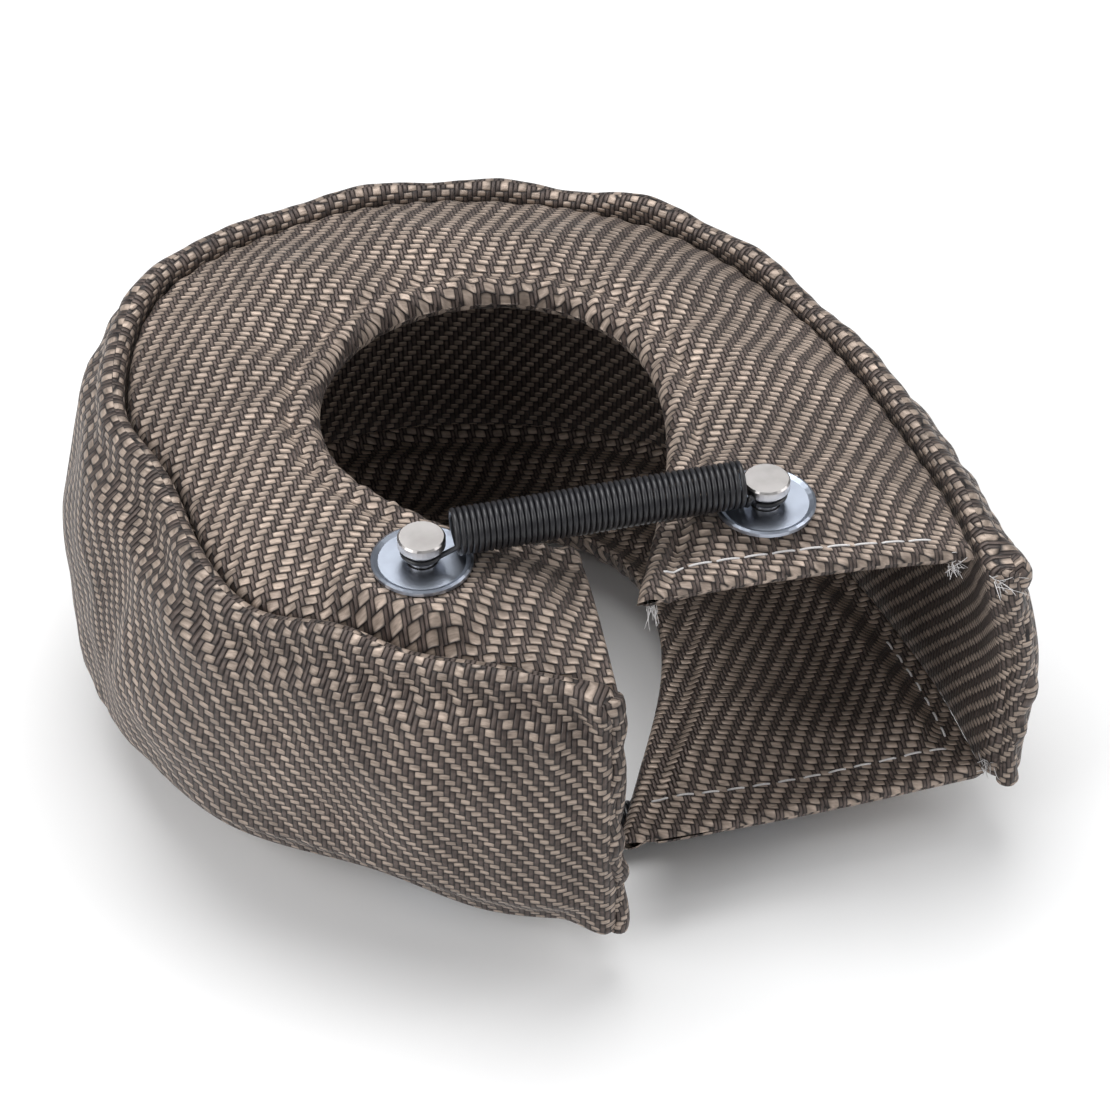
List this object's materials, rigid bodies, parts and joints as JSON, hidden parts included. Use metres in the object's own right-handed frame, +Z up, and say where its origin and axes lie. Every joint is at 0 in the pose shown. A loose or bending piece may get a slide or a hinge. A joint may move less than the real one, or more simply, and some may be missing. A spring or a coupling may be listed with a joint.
{
  "type": "turbo heat blanket",
  "caption": "Padded brown twill heat blanket for a turbocharger's hot side: a C shaped channel round an open hole, pulled shut by black springs on riveted steel posts.",
  "frame": {"origin": "centre of the bounding box on the surface that the blanket lies on", "axes": "+Z up through the open hole, +X along the springs from the left post to the right post, +Y towards the closed back"},
  "size_m": [0.1874, 0.18, 0.0937],
  "materials": {
    "twill_cloth": "coarse 2/2 twill of flat mineral fibre yarn, light beige and dark brown",
    "mineral_mat": "felted white mineral fibre mat",
    "polished_steel": "nickel bright, turned",
    "zinc_steel": "zinc plated, slightly blue",
    "black_spring_steel": "black coated wire, satin"
  },
  "bodies": {
    "root": {"top_outer_cloth": "twill_cloth", "top_inner_cloth": "twill_cloth", "bottom_outer_cloth": "twill_cloth", "bottom_inner_cloth": "twill_cloth", "band_outer_cloth": "twill_cloth", "band_inner_cloth": "twill_cloth", "top_insulation": "mineral_mat", "bottom_insulation": "mineral_mat", "band_insulation": "mineral_mat", "top_left_post": "polished_steel", "top_left_washer": "zinc_steel", "top_left_backing_plate": "zinc_steel", "top_right_post": "polished_steel", "top_right_washer": "zinc_steel", "top_right_backing_plate": "zinc_steel", "bottom_left_post": "polished_steel", "bottom_left_washer": "zinc_steel", "bottom_left_backing_plate": "zinc_steel", "bottom_right_post": "polished_steel", "bottom_right_washer": "zinc_steel", "bottom_right_backing_plate": "zinc_steel", "top_spring": "black_spring_steel", "bottom_spring": "black_spring_steel"}
  },
  "joints": []
}
